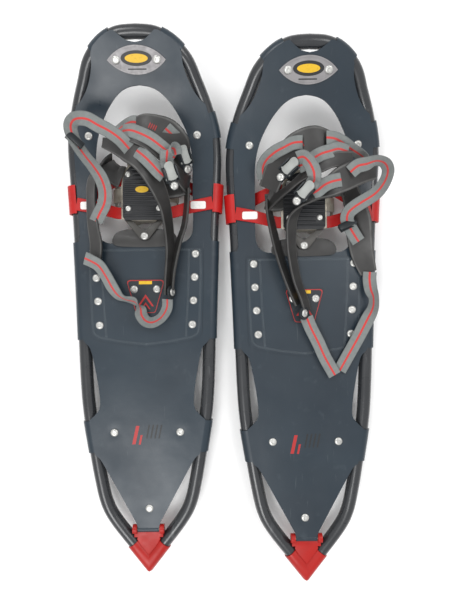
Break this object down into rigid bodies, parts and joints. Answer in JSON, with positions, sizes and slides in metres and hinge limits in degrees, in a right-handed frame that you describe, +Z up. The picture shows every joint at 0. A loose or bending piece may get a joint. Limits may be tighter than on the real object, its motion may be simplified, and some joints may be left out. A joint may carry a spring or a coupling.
{
  "type": "snowshoe pair",
  "caption": "Snowshoes with bent tube frames turned up at the nose, sheet decks riveted round the rails, toothed crampons and pivoting strap bindings with cam lever buckles.",
  "frame": {"origin": "centre of the pair on the ground, under the crampon teeth", "axes": "+Y toward the turned-up noses, +Z up, +X toward the right shoe"},
  "size_m": [0.4616, 0.78, 0.1256],
  "materials": {
    "frame_black": "satin black coating on drawn tube",
    "tail_red": "moulded, slightly glossy",
    "bare_steel": "dull plated steel",
    "deck_slate": "coated sheet with a slight sheen",
    "rivet_bright": "domed, satin",
    "badge_grey": "metallic print on a moulded badge",
    "badge_dark": "moulded",
    "strap_red": "moulded elastic strap",
    "harness_black": "soft moulded panels",
    "footbed_black": "ribbed moulding",
    "webbing_grey": "flat woven webbing",
    "buckle_dark": "moulded",
    "lever_grey": "moulded"
  },
  "bodies": {
    "left_shoe": {"left_frame_tube": "frame_black", "left_tail_cap": "tail_red", "left_tail_clip": "bare_steel", "left_deck": "deck_slate", "left_deck_collars": "deck_slate", "left_deck_rivets": "rivet_bright", "left_nose_badge": "badge_grey", "left_heel_pad": "deck_slate", "left_heel_badge": "badge_dark", "left_heel_crampon": "bare_steel", "left_suspension_strap": "strap_red"},
    "left_binding": {"left_toe_crampon": "bare_steel", "left_footbed": "footbed_black", "left_binding_fasteners": "rivet_bright", "left_rear_bracket": "harness_black", "left_rear_flap": "harness_black", "left_toe_cup": "harness_black", "left_instep_wrap": "harness_black", "left_outer_arm": "harness_black", "left_inner_arm": "harness_black", "left_front_buckle": "buckle_dark", "left_rear_buckle": "buckle_dark", "left_toe_webbing": "webbing_grey", "left_instep_webbing": "webbing_grey", "left_webbing_loop": "webbing_grey", "left_webbing_keeper": "buckle_dark", "left_heel_strap": "webbing_grey", "left_heel_disc": "badge_dark"},
    "left_front_lever_body": {"left_front_lever": "lever_grey"},
    "left_rear_lever_body": {"left_rear_lever": "lever_grey"},
    "right_shoe": {"right_frame_tube": "frame_black", "right_tail_cap": "tail_red", "right_tail_clip": "bare_steel", "right_deck": "deck_slate", "right_deck_collars": "deck_slate", "right_deck_rivets": "rivet_bright", "right_nose_badge": "badge_grey", "right_heel_pad": "deck_slate", "right_heel_badge": "badge_dark", "right_heel_crampon": "bare_steel", "right_suspension_strap": "strap_red"},
    "right_binding": {"right_toe_crampon": "bare_steel", "right_footbed": "footbed_black", "right_binding_fasteners": "rivet_bright", "right_rear_bracket": "harness_black", "right_rear_flap": "harness_black", "right_toe_cup": "harness_black", "right_instep_wrap": "harness_black", "right_outer_arm": "harness_black", "right_inner_arm": "harness_black", "right_front_buckle": "buckle_dark", "right_rear_buckle": "buckle_dark", "right_toe_webbing": "webbing_grey", "right_instep_webbing": "webbing_grey", "right_webbing_loop": "webbing_grey", "right_webbing_keeper": "buckle_dark", "right_heel_strap": "webbing_grey", "right_heel_disc": "badge_dark"},
    "right_front_lever_body": {"right_front_lever": "lever_grey"},
    "right_rear_lever_body": {"right_rear_lever": "lever_grey"}
  },
  "joints": [
    {"name": "right_shoe_lift", "type": "slide", "parent": "left_shoe", "child": "right_shoe", "axis": [0, 0, 1], "range_m": [0, 0.3]},
    {"name": "left_binding_pitch", "type": "hinge", "parent": "left_shoe", "child": "left_binding", "pos_m": [-0.1155, 0.173, 0.033], "axis": [-1, 0, 0], "range_deg": [0, 20], "stiffness_Nm_per_rad": 2, "deforming": ["left_suspension_strap"]},
    {"name": "left_front_lever_open", "type": "hinge", "parent": "left_binding", "child": "left_front_lever_body", "pos_m": [-0.04979, 0.21112, 0.08999], "axis": [0.692, 0.4318, -0.5785], "range_deg": [0, 90]},
    {"name": "left_rear_lever_open", "type": "hinge", "parent": "left_binding", "child": "left_rear_lever_body", "pos_m": [-0.06784, 0.18579, 0.10308], "axis": [0.8499, 0.3847, -0.3601], "range_deg": [0, 90]},
    {"name": "right_binding_pitch", "type": "hinge", "parent": "right_shoe", "child": "right_binding", "pos_m": [0.1155, 0.157, 0.033], "axis": [-1, 0, 0], "range_deg": [0, 20], "stiffness_Nm_per_rad": 2, "deforming": ["right_suspension_strap"]},
    {"name": "right_front_lever_open", "type": "hinge", "parent": "right_binding", "child": "right_front_lever_body", "pos_m": [0.08274, 0.19512, 0.09692], "axis": [0.5502, -0.769, 0.3253], "range_deg": [0, 90]},
    {"name": "right_rear_lever_open", "type": "hinge", "parent": "right_binding", "child": "right_rear_lever_body", "pos_m": [0.10354, 0.16221, 0.10032], "axis": [0.6763, -0.709, 0.1999], "range_deg": [0, 90]}
  ]
}
